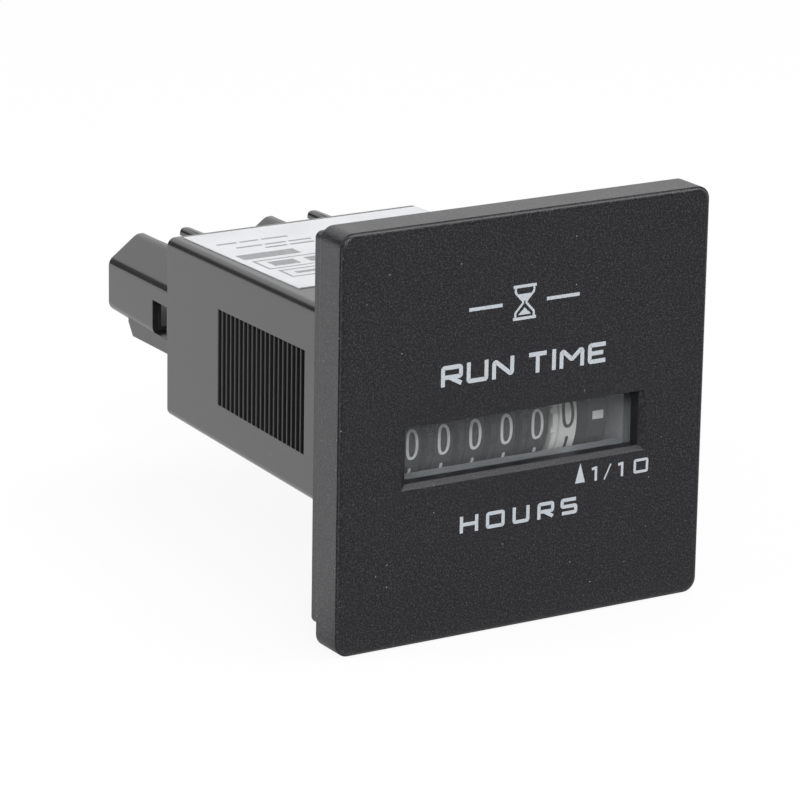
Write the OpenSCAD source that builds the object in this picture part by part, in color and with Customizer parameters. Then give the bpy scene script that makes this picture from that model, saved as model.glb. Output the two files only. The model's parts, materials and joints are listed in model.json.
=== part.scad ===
// Panel hour meter with a six-wheel mechanical register, a stepping motor and two shrouded blade terminals.
// The origin is the centre of the panel seat, behind the rim of the bezel. The front faces -Y and +Z is up.

/* [Bezel] */
// Side of the square front frame
bezel_size = 48; // [44:0.5:60]
// Thickness of the frame in front of the panel
bezel_depth = 4.6; // [4.2:0.1:6]
// Radius of the four corners of the frame
bezel_corner_r = 1.6; // [1:0.1:3]
// Radius of the front edge
front_edge_r = 0.45; // [0.2:0.05:0.8]
// Height of the fine step between the front edge and the sides
front_edge_step = 0.12; // [0.05:0.01:0.2]
// Thickness of the wall round the window
front_wall = 2; // [1.6:0.1:2.4]
// Width of the rim that lies on the panel
rim_w = 1.5; // [1:0.1:2.5]
// Depth of the boss that enters the panel cut-out
boss_depth = 3.6; // [2.5:0.1:5]
// Radius of the corners of the boss
boss_corner_r = 0.8; // [0.4:0.1:1.5]
// Wall of the boss and of the collar round the case
skirt_wall = 1.4; // [1:0.1:1.6]
// Thickness of the ribs behind the front wall
rib_t = 1.2; // [0.8:0.1:1.6]
// Distance of the ribs from the middle
rib_x = 9; // [7:0.5:11]

/* [Window] */
// Height of the clear opening
window_h = 6.55; // [6:0.05:7]
// Height of the middle of the window above the middle of the frame
window_z = -1.98; // [-2.2:0.02:-1.8]
// Width and depth of the bevel below the window
window_bevel = 0.6; // [0.3:0.05:0.8]
// Width of the bevel beside the window
window_side_bevel = 0.8; // [0.3:0.05:1]
// Thickness of the lens
lens_t = 2; // [1.6:0.1:2.4]
// Overlap of the lens behind the window
lens_lap = 0.65; // [0.5:0.05:0.7]
// Wall of the frame that locates the lens
lens_seat_wall = 0.5; // [0.4:0.05:0.6]

/* [Case] */
// Width of the case at the bezel
case_w = 36; // [35.8:0.1:38]
// Height of the case at the bezel
case_h = 23.3; // [23.2:0.1:25]
// Length of the case behind the boss
case_length = 43.5; // [43:0.5:60]
// Moulding draft of each side over the length
case_draft = 0.7; // [0.5:0.05:0.75]
// Wall of the case
case_wall = 1.3; // [1.1:0.05:1.35]
// Radius of the long edges
case_edge_r = 1; // [0.5:0.1:1.2]
// Thickness of the rear closure
closure_t = 1.6; // [1.2:0.1:2]

/* [Ratchet rack] */
// Number of grooves on each side
rack_grooves = 20; // [12:1:24]
// Distance from groove to groove
rack_pitch = 1.04; // [0.9:0.01:1.1]
// Distance of the first groove behind the boss
rack_start = 10.1; // [6:0.1:14]
// Height of the rack at its rear
rack_h = 11.5; // [8:0.1:14]
// Growth of the rack's height from its rear to its front
rack_flare = 0.7; // [0:0.1:1]
// Height of the middle of the rack
rack_z = -0.3; // [-2:0.1:2]
// Depth of a groove
rack_depth = 0.6; // [0.3:0.05:0.7]
// Width of a groove
rack_groove_w = 0.76; // [0.5:0.02:0.8]

/* [Label] */
// Width of the label
label_w = 31.9; // [20:0.1:32.4]
// Shift of the label to the right of the middle
label_x = 0.3; // [-0.5:0.1:0.5]
// Length of the label
label_l = 27.2; // [15:0.1:28]
// Distance of the label behind the boss
label_start = 15.3; // [10:0.1:15.6]
// Thickness of the label
label_t = 0.1; // [0.05:0.01:0.2]

/* [Register] */
// Clearance between the number wheels and the floor of the case
wheel_floor_gap = 0.45; // [0.4:0.01:0.6]
// Clearance between the counter frame and the right wall of the case
frame_clear = 0.22; // [0.15:0.01:0.4]
// Room for wires between the counter frame and the left wall of the case
wire_room = 1.36; // [1.2:0.02:1.6]
// Drop of the wheel shaft below the middle of the window
register_drop = 0.42; // [0.3:0.02:0.5]
// Width of the numbered drum as a share of the distance from wheel to wheel
drum_share = 0.56; // [0.5:0.01:0.58]
// Width of the locking disc beside the drum as a share of that distance
disc_share = 0.16; // [0.12:0.01:0.17]
// Width of the gear on the wheel as a share of that distance
gear_share = 0.145; // [0.12:0.005:0.16]
// Groove between the disc and the drum
disc_gap = 0.15; // [0.1:0.01:0.2]
// Rim thickness of a wheel
wheel_rim = 1; // [0.7:0.1:1.3]
// Diameter of a wheel's hub
wheel_hub_d = 4; // [3.2:0.1:5]
// Distance from the lens to the wheels
wheel_clear = 1.5; // [1.2:0.1:2]
// Diameter of the wheel shaft
wheel_shaft_d = 2; // [1.6:0.1:2.4]
// Diameter of the pinion shaft
pinion_shaft_d = 1.2; // [0.8:0.1:1.3]
// Clearance between a pinion's hub and the number wheels
hub_clear = 0.13; // [0.08:0.01:0.16]
// Thickness of the side plates of the counter frame
plate_t = 1; // [0.8:0.05:1.05]
// Height of the bosses on the right plate
plate_boss_h = 0.46; // [0.3:0.02:0.6]
// Wall of those bosses
plate_boss_wall = 0.6; // [0.4:0.05:0.8]
// Thickness of the floor of the counter frame
floor_t = 0.8; // [0.6:0.05:0.8]
// Depth of the two bars behind the lens
bar_depth = 1.6; // [1.4:0.1:2.1]
// Height of the two bars behind the lens
bar_h = 1.4; // [1:0.1:1.8]
// Distance of the bars from the clear opening
bar_clear = 0.55; // [0.4:0.05:0.8]
// Rise of the top of the lower bar towards the wheels
ledge_rise = 0.2; // [0.1:0.05:0.4]

/* [Gearing] */
// Module of every gear as a share of the diameter of a number wheel
module_share = 0.04133; // [0.0408:0.00001:0.0416]
// Play between two teeth along the pitch circle
backlash = 0.14; // [0.1:0.01:0.2]
// Teeth on a number wheel and on the large drive gear
wheel_teeth = 20; // [20]
// Teeth on each pinion
pinion_teeth = 8; // [8]
// Teeth on the gear of the run indicator
indicator_teeth = 16; // [16]
// Teeth on the idler gear
idler_teeth = 12; // [12]
// Width of the drive gear and the idler gear
train_w = 0.5; // [0.4:0.05:0.55]
// Width of the run indicator's drum
indicator_w = 2.5; // [2.2:0.05:2.55]

/* [Motor] */
// Clearance between the motor can and the hub of the idler gear
can_clear = 0.15; // [0.1:0.01:0.3]
// Sheet thickness of the can and its cover
can_t = 0.35; // [0.25:0.05:0.4]
// Diameter of the rotor magnet as a share of the diameter of the can
magnet_share = 0.4; // [0.36:0.01:0.42]
// Air gap round the magnet
air_gap = 0.2; // [0.15:0.05:0.25]
// Thickness of the claw poles
claw_t = 0.3; // [0.25:0.05:0.35]
// Diameter of the rotor arbor
arbor_d = 0.8; // [0.6:0.1:1]

/* [Electronics] */
// Clearance between the circuit board and the sides of the case
board_clear = 0.6; // [0.4:0.1:1]
// Distance of the circuit board behind the counter frame
board_setback = 3.72; // [3.4:0.02:5]
// Thickness of the circuit board
board_t = 1.2; // [0.8:0.1:1.6]
// Height of the top of the circuit board over the floor of the case
board_rise = 3.65; // [3.25:0.05:4.6]
// Reach of the rails that carry the board
rail_w = 1.4; // [1:0.1:1.8]

/* [Terminals] */
// Distance between the two shrouds at the case
shroud_gap = 2.2; // [1.6:0.1:3]
// Setback of the shrouds from the sides of the case
shroud_setback = 0.4; // [0.2:0.1:1]
// Length of the shrouds behind the case
shroud_l = 16.5; // [12:0.5:20]
// Width of the top of a shroud
shroud_top_w = 7.3; // [5.8:0.1:8]
// Height of the bottom of the mouth
shroud_z0 = -2.2; // [-2.6:0.1:-1.2]
// Height at which the sides of the mouth start to slope
shroud_z1 = 4.2; // [3.6:0.05:4.5]
// Height of the top of the mouth
shroud_z2 = 7.1; // [6.8:0.1:7.5]
// Growth of the shroud's outline from the mouth to the case
shroud_draft = 0.4; // [0.1:0.05:0.5]
// Radius of the long edges of the shrouds
shroud_edge_r = 1.3; // [0.3:0.1:1.5]
// Wall of the shrouds at the mouth
shroud_wall = 0.9; // [0.7:0.05:1]
// Width of the latch slot in the top
latch_slot_w = 4.6; // [3:0.1:4.8]
// Length of the latch slot in the top
latch_slot_l = 10; // [6:0.5:11]
// Radius of the upper edges of the latch slot
latch_edge_r = 0.6; // [0.3:0.1:0.8]
// Length of the latch window in the outer side
side_window_l = 3.8; // [3:0.1:6]
// Height of the latch window in the outer side
side_window_h = 4.1; // [2:0.1:4.4]
// Distance of that window above the bottom of the mouth
side_window_rise = 0.3; // [0.2:0.05:0.6]
// Depth of the keel under each shroud
keel_h = 1.15; // [0.8:0.05:2]
// Length of the keel
keel_l = 11.4; // [8:0.2:12]
// Width of a terminal blade
blade_w = 6.3; // [4.8:0.1:6.3]
// Thickness of a terminal blade
blade_t = 0.8; // [0.5:0.1:0.8]
// Length of a terminal blade outside the case
blade_l = 11.5; // [8:0.5:12]
// Height of the terminal blades
blade_z = 0.7; // [0.5:0.1:1]

/* [Clearances] */
// Side clearance of pieces that seat in one another
fit_gap = 0.1; // [0.05:0.01:0.15]
// Side clearance between parts that turn
run_gap = 0.1; // [0.08:0.01:0.12]
// Radial clearance of a bore on its shaft
bore_gap = 0.05; // [0.03:0.01:0.08]

/* [Hidden] */
$fn = 64;
// Overlap of cutting shapes past the faces they cut
cut = 0.5;
// Thickness of the layers between which a blended form is stretched
layer = 0.01;
pressure_angle = 20;
// Share of the module by which a large gear and a pinion stand over their pitch circles
gear_addendum = 0.5;
pinion_addendum = 0.85;
root_clearance = 0.2;
flank_steps = 3;

front_y = -bezel_depth;
inner_y = front_y + front_wall;
lens_back_y = inner_y + lens_t;
case_end = boss_depth + case_length;
shroud_end = case_end + shroud_l;
boss_size = bezel_size - 2 * rim_w;
draft_angle = atan(case_draft / case_length);
collar_w = case_w + 2 * fit_gap + 2 * skirt_wall;
collar_h = case_h + 2 * fit_gap + 2 * skirt_wall;
window_w = case_w - 2 * (case_wall + lens_lap + lens_seat_wall + 2 * fit_gap);
lens_w = window_w + 2 * lens_lap;
lens_h = window_h + 2 * lens_lap;

// Outer half width and half height lost to the draft at a depth
function draft_at(y) = case_draft * (y - boss_depth) / case_length;
function inner_half_w(y) = case_w / 2 - case_wall - draft_at(y);
function inner_half_h(y) = case_h / 2 - case_wall - draft_at(y);
function top_z(y) = case_h / 2 - draft_at(y);

// Axes of the wheels, the pinions and the rotor as [y, z]
wheel_d = 2 * (inner_half_h(boss_depth) + window_z - register_drop - wheel_floor_gap);
tooth_module = module_share * wheel_d;
function pitch_r(teeth) = tooth_module * teeth / 2;
pinion_offset = pitch_r(wheel_teeth) + pitch_r(pinion_teeth);
rotor_offset = pitch_r(idler_teeth) + pitch_r(pinion_teeth);
pinion_hub_d = 2 * (pinion_offset - wheel_d / 2 - hub_clear);
can_d = 2 * (rotor_offset - pinion_hub_d / 2 - can_clear);
wheel_axis = [lens_back_y + wheel_clear + wheel_d / 2, window_z - register_drop];
pinion_axis = wheel_axis + [pinion_offset, 0];
rotor_axis = pinion_axis + [rotor_offset, 0];
// Length of the side plates behind their last axis
plate_margin = 4;
plate_back_y = rotor_axis.x + plate_margin;

// Places along the shafts, the wheels being 0 to 5 and the run indicator 6
hour_wheels = 5;
tenths = hour_wheels;
indicator = hour_wheels + 1;
left_plate_x = wire_room - inner_half_w(plate_back_y);
frame_end_x = inner_half_w(plate_back_y) - frame_clear;
train_l = 2 * train_w + indicator_w + 4 * run_gap + plate_boss_h;
wheel_pitch = (frame_end_x - left_plate_x - 2 * plate_t - train_l) / indicator;
drum_w = drum_share * wheel_pitch;
disc_w = disc_share * wheel_pitch;
gear_w = gear_share * wheel_pitch;
wheel_left = -(drum_w / 2 + disc_gap + disc_w);
wheel_right = wheel_left + wheel_pitch - run_gap;
function wheel_x(k) = left_plate_x + plate_t + run_gap - wheel_left + k * wheel_pitch;
drive_x = wheel_x(tenths) + wheel_right + run_gap;
indicator_x = drive_x + train_w + run_gap;
indicator_gear_x = indicator_x + indicator_w;
train_end_x = indicator_gear_x + run_gap + train_w;
right_plate_x = frame_end_x - plate_t;
can_x = indicator_x;
can_end_x = indicator_gear_x;

// Counter frame
bar_low_z = window_z - window_h / 2 - bar_clear;
bar_high_z = window_z + window_h / 2 + bar_clear;
bar_back_y = lens_back_y + bar_depth;
left_plate_back_y = pinion_axis.x + plate_margin;
plate_top_z = wheel_axis.y + wheel_d / 2 - run_gap;
floor_y = wheel_axis.x + wheel_d / 2 + run_gap;
floor_l = plate_back_y - case_edge_r - floor_y;
floor_z = -inner_half_h(plate_back_y) + fit_gap;
saddle_w = 1.6;
saddle_l = 5;

// Circuit board
board_w = 2 * (inner_half_w(case_end) - board_clear);
board_z = board_rise - inner_half_h(case_end);
board_end_y = case_end - closure_t - fit_gap;
board_y = plate_back_y + board_setback;
board_l = board_end_y - board_y;
rail_h = 1;
leg_w = 2;
leg_setback = 1.5;
leg_y = case_end - closure_t - leg_setback;
leg_below = 0.8;

// Shrouds
shroud_w = case_w / 2 - case_draft - shroud_setback - 2 * shroud_draft - shroud_gap / 2;
shroud_x = shroud_gap / 2 + shroud_draft + shroud_w / 2;

// Extrudes an outline drawn in X and Z from one depth to another
module slab(y0, y1) {
    translate([0, y1, 0]) rotate([90, 0, 0]) linear_extrude(y1 - y0) children();
}

// Extrudes an outline drawn in Y and Z from one place across to another
module across(x0, x1) {
    translate([x0, 0, 0]) rotate([90, 0, 90]) linear_extrude(x1 - x0) children();
}

// Turns a half section, drawn as radius and place across, about the X direction
module turned() {
    rotate([90, 0, 90]) rotate_extrude() children();
}

module on_axis(axis) {
    translate([0, axis.x, axis.y]) children();
}

// A cylinder that lies along X
module bar_x(x0, x1, d) {
    across(x0, x1) circle(d = d);
}

// A step of a half section: radii r0 to r1 between two places across
module step(r0, r1, x0, x1) {
    translate([r0, x0]) square([r1 - r0, x1 - x0]);
}

module rounded_rect(w, h, r) {
    square([w - 2 * r, h], center = true);
    square([w, h - 2 * r], center = true);
    for (x = [-1, 1], y = [-1, 1]) translate([x * (w / 2 - r), y * (h / 2 - r)]) circle(r);
}

// Gear teeth with involute flanks
function involute(angle) = tan(angle) * 180 / PI - angle;
function flank_angle(base_r, r) = r > base_r ? involute(acos(base_r / r)) : 0;
function half_tooth(teeth, r) = let (
    pitch = pitch_r(teeth),
    base_r = pitch * cos(pressure_angle),
    half_at_pitch = (PI * tooth_module / 2 - backlash) / (2 * pitch) * 180 / PI
) half_at_pitch + involute(pressure_angle) - flank_angle(base_r, r);
function tip_r(teeth) =
    pitch_r(teeth) + tooth_module * (teeth > pinion_teeth ? gear_addendum : pinion_addendum);
function root_r(teeth) =
    pitch_r(teeth) - tooth_module * (root_clearance + (teeth > pinion_teeth ? pinion_addendum : gear_addendum));

// Outline of a gear, with its first tooth turned to phase
module gear_2d(teeth, phase) {
    base_r = pitch_r(teeth) * cos(pressure_angle);
    start_r = max(root_r(teeth), base_r);
    rise = [for (i = [0:flank_steps]) start_r + (tip_r(teeth) - start_r) * i / flank_steps];
    radii = start_r > root_r(teeth) ? concat([root_r(teeth)], rise) : rise;
    last = len(radii) - 1;
    polygon([
        for (tooth = [0:teeth - 1], side = [-1, 1], i = [0:last]) let (
            r = radii[side < 0 ? i : last - i],
            angle = phase + tooth * 360 / teeth + side * half_tooth(teeth, r)
        ) [r * cos(angle), r * sin(angle)]
    ]);
}

// Front frame

module front_edge() {
    hull() for (a = [0:22.5:90]) {
        side = bezel_size - 2 * front_edge_step - 2 * front_edge_r * (1 - cos(a));
        y = front_y + front_edge_r * (1 - sin(a));
        slab(y, y + layer) rounded_rect(side, side, bezel_corner_r, $fn = 32);
    }
}

// The bevel below and beside the window, cut by two crossing wedges
module window_bevel_cut() {
    deep = window_bevel + cut;
    wide = window_side_bevel * deep / window_bevel;
    intersection() {
        across(-bezel_size / 2, bezel_size / 2) translate([front_y, window_z]) polygon([
            [window_bevel, -window_h / 2], [-cut, -window_h / 2 - deep],
            [-cut, window_h / 2], [window_bevel, window_h / 2]
        ]);
        linear_extrude(bezel_size, center = true) translate([0, front_y]) polygon([
            [-window_w / 2, window_bevel], [-window_w / 2 - wide, -cut],
            [window_w / 2 + wide, -cut], [window_w / 2, window_bevel]
        ]);
    }
}

module window_place() {
    translate([0, window_z]) children();
}

// Pockets between the collar and the outer wall of the boss
module core_pockets() {
    inside = boss_size - 2 * skirt_wall;
    difference() {
        square(inside, center = true);
        square([collar_w, collar_h], center = true);
        square([inside + cut, collar_h], center = true);
        for (x = [-rib_x, rib_x]) translate([x, 0]) square([rib_t, inside + cut], center = true);
    }
}

module bezel() color("#2c2c2f") {
    difference() {
        union() {
            slab(front_y + front_edge_r, 0) rounded_rect(bezel_size, bezel_size, bezel_corner_r);
            front_edge();
            slab(-layer, boss_depth) rounded_rect(boss_size, boss_size, boss_corner_r);
        }
        slab(inner_y, boss_depth + cut)
            rounded_rect(case_w + 2 * fit_gap, case_h + 2 * fit_gap, case_edge_r + fit_gap);
        slab(inner_y, boss_depth + cut) core_pockets();
        slab(front_y - cut, inner_y + cut) window_place() square([window_w, window_h], center = true);
        window_bevel_cut();
    }
    slab(inner_y - layer, lens_back_y) window_place() difference() {
        seat = 2 * (fit_gap + lens_seat_wall);
        square([lens_w + seat, lens_h + seat], center = true);
        square([lens_w + 2 * fit_gap, lens_h + 2 * fit_gap], center = true);
    }
}

module window_lens() color("#dfe8ea", 0.35) {
    slab(inner_y, lens_back_y) window_place() square([lens_w, lens_h], center = true);
}

// Housing

// A tube section of the case, from the bezel to the rear, shrunk by a wall thickness
module case_form(wall, over) {
    w = case_w - 2 * wall;
    h = case_h - 2 * wall;
    r = max(case_edge_r - wall, 2 * layer);
    slab(inner_y - over, boss_depth + layer) rounded_rect(w, h, r);
    hull() {
        slab(boss_depth, boss_depth + layer) rounded_rect(w, h, r, $fn = 32);
        shrink = 2 * draft_at(case_end + over);
        slab(case_end + over - layer, case_end + over) rounded_rect(w - shrink, h - shrink, r, $fn = 32);
    }
}

// One groove of the rack, with a slope that lets a clamp slide forward and a wall that stops it going back
module rack_groove() {
    slope = rack_groove_w / 2;
    polygon([
        [cut, 0], [0, 0], [-rack_depth, slope], [-rack_depth, rack_groove_w], [cut, rack_groove_w]
    ]);
}

module rack_cuts() {
    translate([case_w / 2, boss_depth, rack_z]) rotate([0, 0, draft_angle])
        for (i = [0:rack_grooves - 1])
            translate([0, rack_start + i * rack_pitch, 0])
                linear_extrude(rack_h + rack_flare * (1 - i / rack_grooves), center = true) rack_groove();
}

module board_rail() {
    reach = case_w / 2 - case_draft - case_wall / 2;
    start = inner_half_w(case_end) - rail_w;
    translate([start, board_y, board_z - board_t - rail_h])
        cube([reach - start, board_end_y - board_y, rail_h]);
}

module case() color("#3a3a3d") {
    difference() {
        case_form(0, 0);
        case_form(case_wall, cut);
        for (side = [0, 1]) mirror([side, 0, 0]) rack_cuts();
    }
    for (side = [0, 1]) mirror([side, 0, 0]) board_rail();
}

module top_label() color("#e9e9e6") {
    start = boss_depth + label_start;
    end = start + label_l;
    translate([label_x, 0, layer]) across(-label_w / 2, label_w / 2) polygon([
        [start, top_z(start)], [end, top_z(end)], [end, top_z(end) + label_t], [start, top_z(start) + label_t]
    ]);
}

// Rear closure with two shrouds

// Outline of a shroud, grown outwards
module shroud_outline(grow) {
    half = shroud_w / 2;
    top = shroud_top_w / 2;
    slope = atan2(shroud_z2 - shroud_z1, half - top);
    x_side = half + grow;
    x_top = top + grow * (1 - cos(slope)) / sin(slope);
    z_side = shroud_z1 + grow * (1 - sin(slope)) / cos(slope);
    polygon([
        [-x_side, shroud_z0 - grow], [x_side, shroud_z0 - grow], [x_side, z_side],
        [x_top, shroud_z2 + grow], [-x_top, shroud_z2 + grow], [-x_side, z_side]
    ]);
}

module rounded_shroud_outline(grow) {
    offset(r = shroud_edge_r, $fn = 24) offset(delta = -shroud_edge_r) shroud_outline(grow);
}

module shroud_form() {
    hull() {
        slab(case_end, case_end + layer) rounded_shroud_outline(shroud_draft);
        slab(shroud_end - layer, shroud_end) rounded_shroud_outline(0);
    }
    half = shroud_w / 2;
    keel_top_z = shroud_z0 + shroud_edge_r;
    keel_low_z = shroud_z0 - shroud_draft - keel_h;
    across(-half, half) polygon([
        [case_end, keel_top_z], [case_end + keel_l, keel_top_z], [case_end + keel_l, shroud_z0],
        [case_end + keel_l - keel_h, keel_low_z], [case_end, keel_low_z]
    ]);
}

// Outline of the latch slot, which widens to round the edges beside it
module latch_slot_outline() {
    edge_x = latch_slot_w / 2 + latch_edge_r;
    edge_z = shroud_z2 - latch_edge_r;
    translate([-latch_slot_w / 2, shroud_z1]) square([latch_slot_w, shroud_z2]);
    difference() {
        translate([-edge_x, edge_z]) square([2 * edge_x, shroud_z2]);
        for (side = [-1, 1]) translate([side * edge_x, edge_z]) circle(latch_edge_r, $fn = 32);
    }
}

module shroud_cuts() {
    slab(case_end, shroud_end + cut) shroud_outline(-shroud_wall);
    slab(shroud_end - latch_slot_l, shroud_end + cut) latch_slot_outline();
    translate([shroud_w / 2 - 2 * shroud_wall, case_end + shroud_wall, shroud_z0 + side_window_rise])
        cube([3 * shroud_wall, side_window_l, side_window_h]);
    slab(case_end - closure_t - cut, case_end + cut) translate([0, blade_z])
        square([blade_w + 2 * fit_gap, blade_t + 2 * fit_gap], center = true);
}

module terminal_block() color("#343437") {
    difference() {
        union() {
            slab(case_end - closure_t, case_end) rounded_rect(
                2 * (inner_half_w(case_end) - fit_gap), 2 * (inner_half_h(case_end) - fit_gap),
                case_edge_r / 2
            );
            for (side = [0, 1]) mirror([side, 0, 0]) translate([shroud_x, 0, 0]) shroud_form();
        }
        for (side = [0, 1]) mirror([side, 0, 0]) translate([shroud_x, 0, 0]) shroud_cuts();
    }
}

// A blade with a chamfered tip and a detent hole, and a leg that goes down through the board
module terminal(x) color("#c9b98a") translate([x, 0, 0]) {
    tip_y = case_end + blade_l;
    bevel = blade_w / 5;
    half = blade_w / 2;
    hole_d = blade_w / 4;
    hole_back = blade_w / 2;
    difference() {
        translate([0, 0, blade_z - blade_t / 2]) linear_extrude(blade_t) polygon([
            [-half, leg_y], [half, leg_y], [half, tip_y - bevel], [half - bevel, tip_y],
            [bevel - half, tip_y], [-half, tip_y - bevel]
        ]);
        translate([0, tip_y - bevel - hole_back, blade_z]) cylinder(d = hole_d, h = 2 * blade_t, center = true);
    }
    leg_z = board_z - board_t - leg_below;
    translate([-leg_w / 2, leg_y, leg_z]) cube([leg_w, blade_t, blade_z - leg_z]);
}

module left_terminal() terminal(-shroud_x);
module right_terminal() terminal(shroud_x);

// Counter frame and shafts

module plate_outline(back_y) {
    middle = [(lens_back_y + back_y) / 2, (floor_z + plate_top_z) / 2];
    difference() {
        translate(middle) rounded_rect(back_y - lens_back_y, plate_top_z - floor_z, case_edge_r);
        translate(wheel_axis) circle(d = wheel_shaft_d);
        translate(pinion_axis) circle(d = pinion_shaft_d);
        translate(rotor_axis) circle(d = arbor_d + 2 * bore_gap);
    }
}

module between_plates() {
    across(left_plate_x + plate_t - layer, right_plate_x + layer) children();
}

module upper_bar() {
    between_plates() translate([lens_back_y + bar_depth / 2, bar_high_z + bar_h / 2])
        rounded_rect(bar_depth, bar_h, bar_h / 4);
}

// The bar below the wheels, with a top that rises towards them
module lower_bar() {
    between_plates() polygon([
        [lens_back_y, bar_low_z - bar_h], [bar_back_y, bar_low_z - bar_h],
        [bar_back_y, bar_low_z + ledge_rise], [lens_back_y, bar_low_z]
    ]);
}

// Bosses that keep the train clear of the right plate
module plate_bosses() {
    across(right_plate_x - plate_boss_h, right_plate_x + layer) for (seat = [
        [wheel_axis, wheel_shaft_d], [pinion_axis, pinion_shaft_d], [rotor_axis, arbor_d + 2 * bore_gap]
    ]) translate(seat[0]) difference() {
        circle(d = seat[1] + 2 * plate_boss_wall);
        circle(d = seat[1]);
    }
}

// The block under the motor can, hollowed to carry it
module motor_saddle() {
    middle_x = (can_x + can_end_x) / 2;
    difference() {
        translate([middle_x - saddle_w / 2, rotor_axis.x - saddle_l / 2, floor_z])
            cube([saddle_w, saddle_l, rotor_axis.y - floor_z]);
        on_axis(rotor_axis) bar_x(can_x - cut, can_end_x + cut, can_d + fit_gap);
    }
}

module counter_frame() color("#4a4a4d") {
    across(left_plate_x, left_plate_x + plate_t) plate_outline(left_plate_back_y);
    across(right_plate_x, frame_end_x) plate_outline(plate_back_y);
    lower_bar();
    upper_bar();
    plate_bosses();
    translate([left_plate_x + plate_t - layer, floor_y, floor_z])
        cube([right_plate_x - left_plate_x - plate_t + 2 * layer, floor_l, floor_t]);
    motor_saddle();
}

module wheel_shaft() color("#b8bcc0") {
    on_axis(wheel_axis) bar_x(left_plate_x, frame_end_x, wheel_shaft_d);
}

module pinion_shaft() color("#b8bcc0") {
    on_axis(pinion_axis) bar_x(left_plate_x, frame_end_x, pinion_shaft_d);
}

// Number wheels

// Half section of a wheel's drum, locking disc and hub, from its middle
module wheel_section() {
    bore = wheel_shaft_d / 2 + bore_gap;
    rim = wheel_d / 2 - wheel_rim;
    half = drum_w / 2;
    step(bore, wheel_hub_d / 2, wheel_left, wheel_right);
    step(bore, wheel_d / 2, half - wheel_rim, half);
    step(rim, wheel_d / 2, -half, half);
    step(rim, wheel_d / 2 - disc_gap, wheel_left, -half);
    step(rim, wheel_d / 2 - wheel_rim / 2, wheel_left, half);
}

// The two slots in the locking disc through which the carry pinion is stepped on
module carry_slots() {
    for (side = [-1, 1]) rotate([side * 180 / wheel_teeth + 90, 0, 0])
        translate([wheel_left - cut, -tooth_module / 2, wheel_d / 2 - wheel_rim / 2])
            cube([disc_w + cut, tooth_module, wheel_rim]);
}

module number_wheel(k) {
    half = drum_w / 2;
    on_axis(wheel_axis) translate([wheel_x(k), 0, 0]) difference() {
        union() {
            turned() difference() {
                wheel_section();
                step(wheel_d / 2 - wheel_rim / 2, wheel_d / 2 + cut, -half - disc_gap, -half);
            }
            across(half - layer, half + gear_w) gear_2d(wheel_teeth, 0);
        }
        bar_x(wheel_left - cut, wheel_right + cut, wheel_shaft_d + 2 * bore_gap);
        carry_slots();
    }
}

module hour_wheel(k) color("#2e2e31") number_wheel(k);
module ten_thousands_wheel() hour_wheel(0);
module thousands_wheel() hour_wheel(1);
module hundreds_wheel() hour_wheel(2);
module tens_wheel() hour_wheel(3);
module units_wheel() hour_wheel(4);
module tenths_wheel() color("#e6e4dc") number_wheel(tenths);

// A pinion with a long hub that keeps it beside the gear of wheel k
module carry_pinion(k) color("#d9d5c8") on_axis(pinion_axis) translate([wheel_x(k), 0, 0]) difference() {
    union() {
        bar_x(wheel_left, wheel_right, pinion_hub_d);
        across(drum_w / 2 + run_gap, wheel_right) gear_2d(pinion_teeth, 180 / pinion_teeth);
    }
    bar_x(wheel_left - cut, wheel_right + cut, pinion_shaft_d + 2 * bore_gap);
}

module carry_pinion_1() carry_pinion(0);
module carry_pinion_2() carry_pinion(1);
module carry_pinion_3() carry_pinion(2);
module carry_pinion_4() carry_pinion(3);
module carry_pinion_5() carry_pinion(4);

// Drive train

module drive_gear() color("#d9d5c8") on_axis(pinion_axis) {
    start = wheel_x(tenths) + wheel_left;
    difference() {
        union() {
            bar_x(start, drive_x + train_w, pinion_hub_d);
            across(wheel_x(tenths) + drum_w / 2 + run_gap, drive_x + layer)
                gear_2d(pinion_teeth, 180 / pinion_teeth);
            across(drive_x, drive_x + train_w) gear_2d(wheel_teeth, 180 / wheel_teeth);
        }
        bar_x(start - cut, drive_x + train_w + cut, pinion_shaft_d + 2 * bore_gap);
    }
}

module run_indicator() color("#2e2e31") on_axis(wheel_axis) difference() {
    union() {
        turned() {
            rim = wheel_d / 2 - wheel_rim;
            step(rim, wheel_d / 2, indicator_x, indicator_gear_x);
            step(wheel_shaft_d / 2 + bore_gap, wheel_d / 2, indicator_x, indicator_x + wheel_rim);
            step(wheel_shaft_d / 2 + bore_gap, wheel_hub_d / 2, indicator_x, train_end_x);
        }
        across(drive_x, indicator_x + layer) gear_2d(pinion_teeth, 0);
        across(indicator_gear_x, train_end_x) gear_2d(indicator_teeth, 0);
    }
    bar_x(drive_x - cut, train_end_x + cut, wheel_shaft_d + 2 * bore_gap);
}

module idler_gear() color("#d9d5c8") on_axis(pinion_axis) difference() {
    union() {
        bar_x(indicator_x, train_end_x, pinion_hub_d);
        across(train_end_x - train_w, train_end_x) gear_2d(idler_teeth, 180 / idler_teeth);
    }
    bar_x(indicator_x - cut, train_end_x + cut, pinion_shaft_d + 2 * bore_gap);
}

// Motor

magnet_d = magnet_share * can_d;
magnet_x = can_x + can_t + run_gap;
magnet_end_x = can_end_x - can_t - run_gap;
claw_r = magnet_d / 2 + air_gap;
coil_r = claw_r + claw_t + fit_gap;
claws = 4;

module rotor() color("#b8bcc0") on_axis(rotor_axis) {
    bar_x(can_x, frame_end_x, arbor_d);
    across(train_end_x - train_w, train_end_x) gear_2d(pinion_teeth, 0);
}

module rotor_magnet() color("#55565a") on_axis(rotor_axis) difference() {
    bar_x(magnet_x, magnet_end_x, magnet_d);
    bar_x(magnet_x - cut, magnet_end_x + cut, arbor_d);
}

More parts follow.
